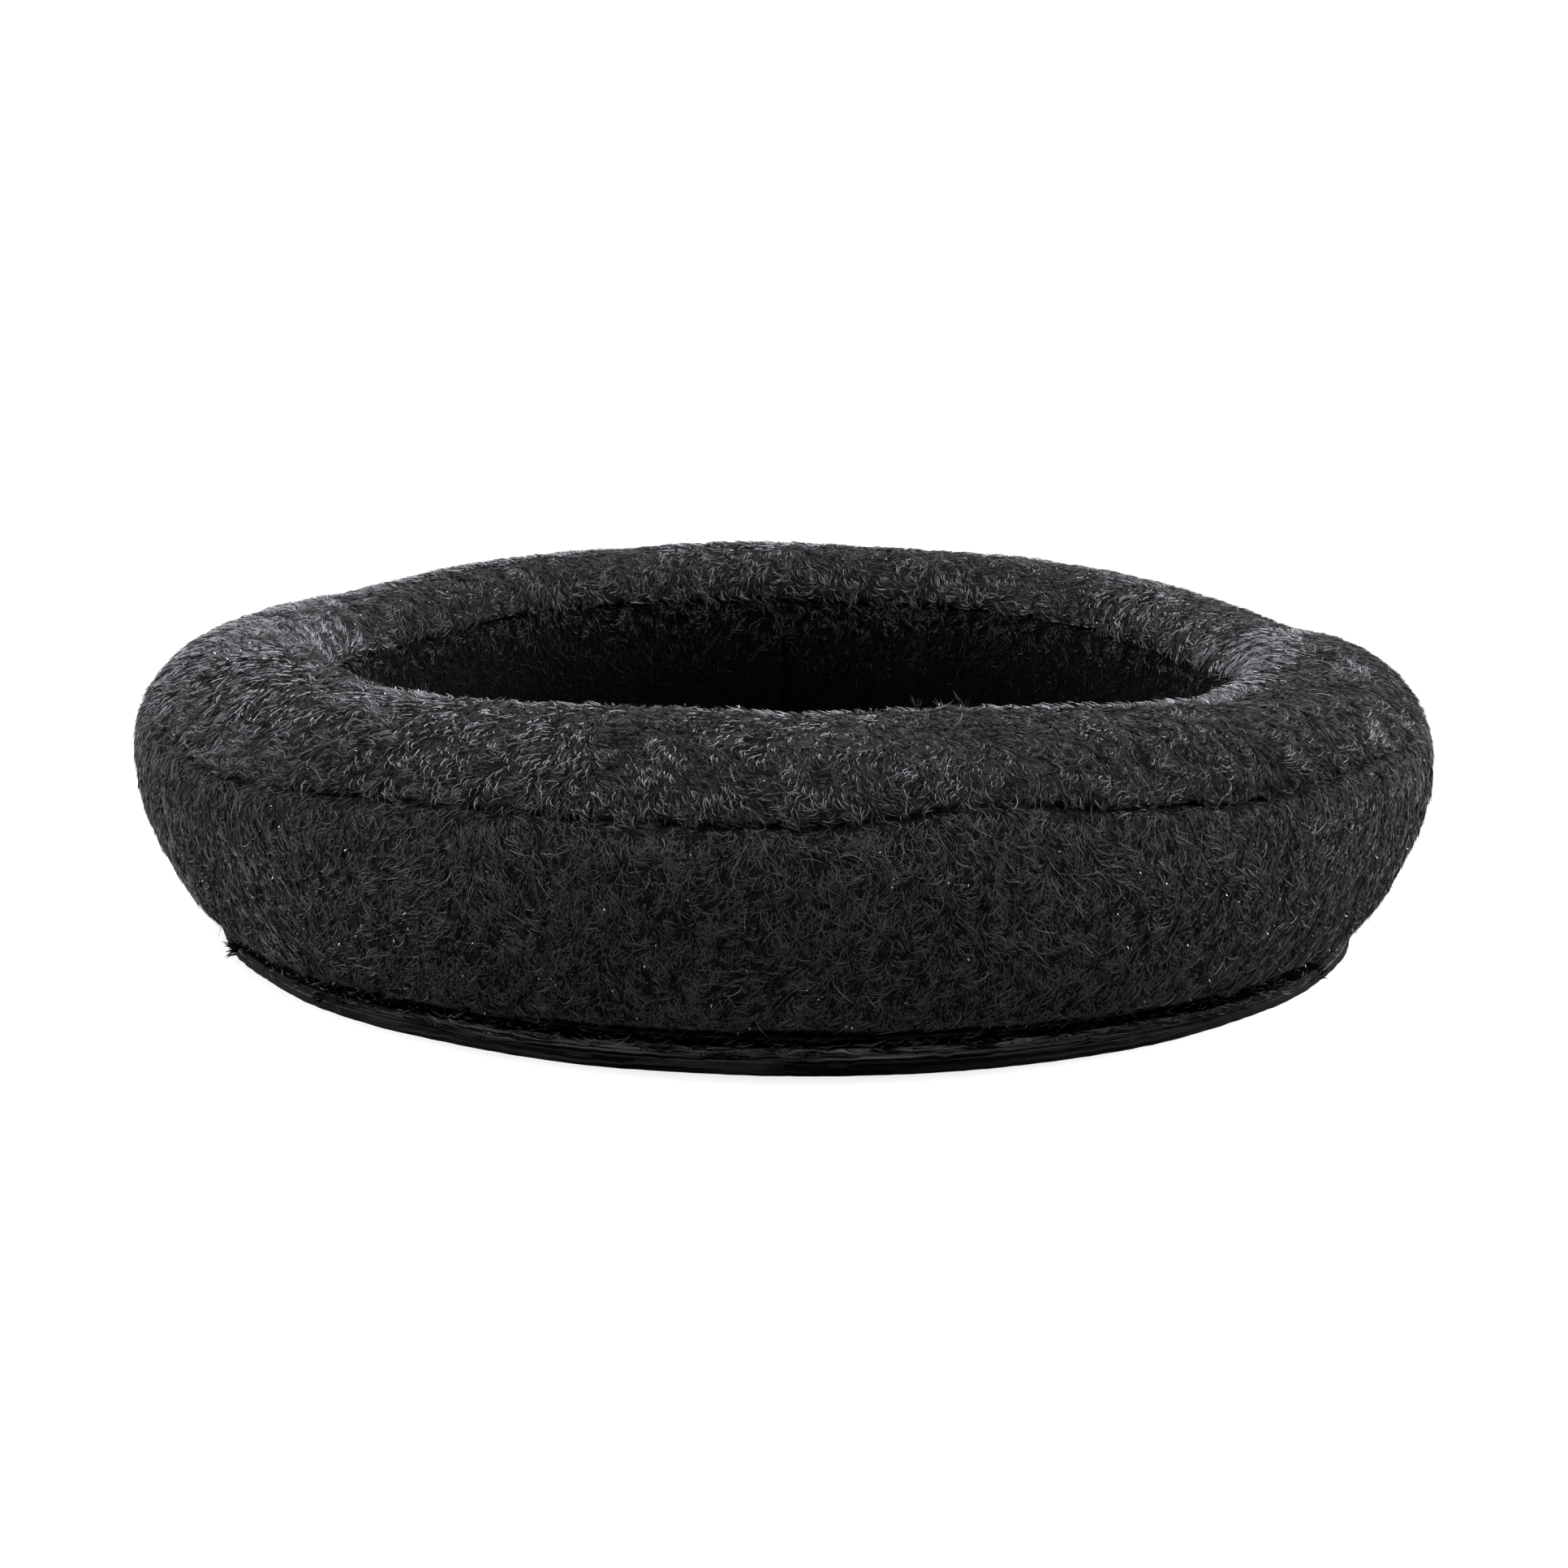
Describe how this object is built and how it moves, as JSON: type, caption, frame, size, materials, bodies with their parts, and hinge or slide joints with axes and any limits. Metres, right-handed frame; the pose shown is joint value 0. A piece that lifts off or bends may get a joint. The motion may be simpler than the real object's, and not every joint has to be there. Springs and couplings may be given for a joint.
{
  "type": "headphone ear cushion",
  "caption": "Round over-ear headphone cushion: a foam ring in a sewn black microsuede cover, with a leatherette skirt that is pulled over an ear cup.",
  "frame": {"origin": "centre of the ring, on the plane of the skirt's underside", "axes": "+Z out of the cup towards the ear, along the ring's axis; +Y towards the joins of the wall strips"},
  "size_m": [0.1, 0.1, 0.0228],
  "materials": {
    "microsuede": "long matte nap, charcoal black",
    "foam": "open-cell, matte",
    "stiff_ply": "matte sheet",
    "leatherette": "fine grain, low sheen, brown-black",
    "thread": "twisted polyester"
  },
  "bodies": {
    "base": {"outer_wall": "microsuede", "inner_wall": "microsuede", "foam_core": "foam", "base_panel": "stiff_ply", "mounting_skirt": "leatherette", "outer_seam_bobbin_thread": "thread", "inner_seam_bobbin_thread": "thread", "base_seam_needle_thread": "thread", "base_seam_bobbin_thread": "thread", "inner_base_needle_thread": "thread", "inner_base_bobbin_thread": "thread", "outer_wall_join_thread": "thread", "inner_wall_join_thread": "thread"},
    "face": {"face_panel": "microsuede", "outer_seam_needle_thread": "thread", "inner_seam_needle_thread": "thread"}
  },
  "joints": [
    {"name": "cushion_press", "type": "slide", "parent": "base", "child": "face", "axis": [0, 0, -1], "range_m": [0, 0.004], "stiffness_N_per_m": 1000, "deforming": ["outer_wall", "inner_wall", "foam_core", "outer_seam_bobbin_thread", "inner_seam_bobbin_thread", "outer_wall_join_thread", "inner_wall_join_thread"]}
  ]
}
